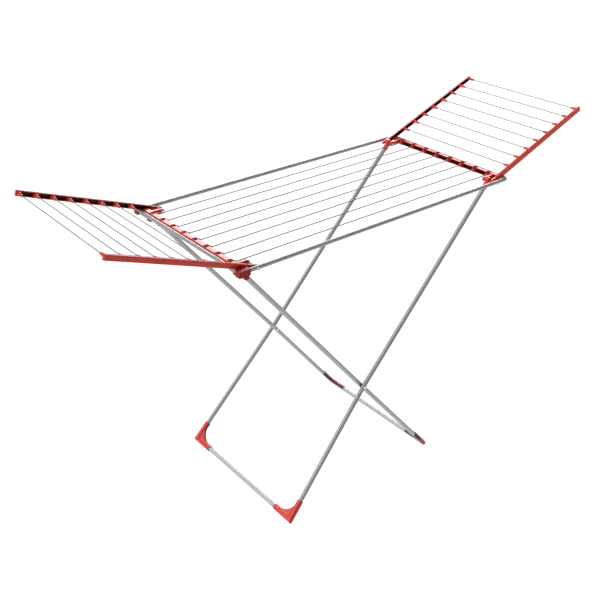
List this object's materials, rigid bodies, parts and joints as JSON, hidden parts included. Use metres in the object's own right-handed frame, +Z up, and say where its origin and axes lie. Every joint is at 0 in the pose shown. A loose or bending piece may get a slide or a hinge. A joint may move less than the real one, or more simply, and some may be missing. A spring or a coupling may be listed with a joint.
{
  "type": "clothes drying rack",
  "caption": "Free-standing folding clothes airer: a frame strung with long drying wires on crossed legs, with a hinged wing of shorter wires raised at each end.",
  "frame": {"origin": "on the floor, under the middle of the rack", "axes": "+X along the long wires to the right wing, +Y from the front to the back, +Z up"},
  "size_m": [1.808, 0.5602, 1.1137],
  "materials": {
    "frame_paint": "satin silver-grey powder coat on steel tube",
    "leg_paint_dark": "satin grey powder coat on steel tube",
    "leg_paint_light": "satin silver-grey powder coat on steel tube",
    "wire_coat": "satin grey plastic coat on steel wire",
    "red_plastic": "semi-gloss moulded orange-red plastic",
    "spacer_plastic": "dark moulded plastic",
    "zinc_steel": "zinc plated"
  },
  "bodies": {
    "frame": {"cross_bar_left": "red_plastic", "cross_bar_right": "red_plastic", "frame_end_left": "frame_paint", "frame_end_right": "frame_paint", "frame_side_back": "frame_paint", "frame_side_front": "frame_paint", "long_wire_1": "wire_coat", "long_wire_2": "wire_coat", "long_wire_3": "wire_coat", "long_wire_4": "wire_coat", "long_wire_5": "wire_coat", "long_wire_6": "wire_coat", "long_wire_7": "wire_coat", "long_wire_8": "wire_coat", "pivot_bolts_left": "zinc_steel", "pivot_bolts_right": "zinc_steel", "pivot_bushes": "spacer_plastic", "seat_bracket_back": "red_plastic", "seat_bracket_front": "red_plastic"},
    "wing_left": {"wing_left_arm_back": "red_plastic", "wing_left_arm_front": "red_plastic", "wing_left_wire_1": "wire_coat", "wing_left_wire_2": "wire_coat", "wing_left_wire_3": "wire_coat", "wing_left_wire_4": "wire_coat", "wing_left_wire_5": "wire_coat", "wing_left_wire_6": "wire_coat", "wing_left_wire_7": "wire_coat", "wing_left_wire_8": "wire_coat"},
    "wing_right": {"wing_right_arm_back": "red_plastic", "wing_right_arm_front": "red_plastic", "wing_right_wire_1": "wire_coat", "wing_right_wire_2": "wire_coat", "wing_right_wire_3": "wire_coat", "wing_right_wire_4": "wire_coat", "wing_right_wire_5": "wire_coat", "wing_right_wire_6": "wire_coat", "wing_right_wire_7": "wire_coat", "wing_right_wire_8": "wire_coat"},
    "leg_a": {"leg_a_eye_back": "red_plastic", "leg_a_eye_front": "red_plastic", "leg_a_floor_bar": "leg_paint_dark", "leg_a_foot_back": "red_plastic", "leg_a_foot_front": "red_plastic", "leg_a_tube_back": "leg_paint_dark", "leg_a_tube_front": "leg_paint_dark", "scissor_rivets": "zinc_steel", "scissor_washers": "spacer_plastic"},
    "leg_b": {"leg_b_floor_bar": "leg_paint_light", "leg_b_foot_back": "red_plastic", "leg_b_foot_front": "red_plastic", "leg_b_head_back": "red_plastic", "leg_b_head_front": "red_plastic", "leg_b_tube_back": "leg_paint_light", "leg_b_tube_front": "leg_paint_light"}
  },
  "joints": [
    {"name": "wing_left_fold", "type": "hinge", "parent": "frame", "child": "wing_left", "pos_m": [-0.478, 0, 0.947], "axis": [0, 1, 0], "range_deg": [0, 155]},
    {"name": "wing_right_fold", "type": "hinge", "parent": "frame", "child": "wing_right", "pos_m": [0.478, 0, 0.947], "axis": [0, -1, 0], "range_deg": [0, 155]},
    {"name": "outer_legs_fold", "type": "hinge", "parent": "frame", "child": "leg_a", "pos_m": [0.478, 0, 0.947], "axis": [0, -1, 0], "range_deg": [0, 38]},
    {"name": "inner_legs_fold", "type": "hinge", "parent": "leg_a", "child": "leg_b", "pos_m": [-0.05, 0, 0.37], "axis": [0, 1, 0], "range_deg": [0, 76]}
  ],
  "couplings": [
    {"joint": "inner_legs_fold", "follows": "outer_legs_fold", "ratio": 2}
  ]
}
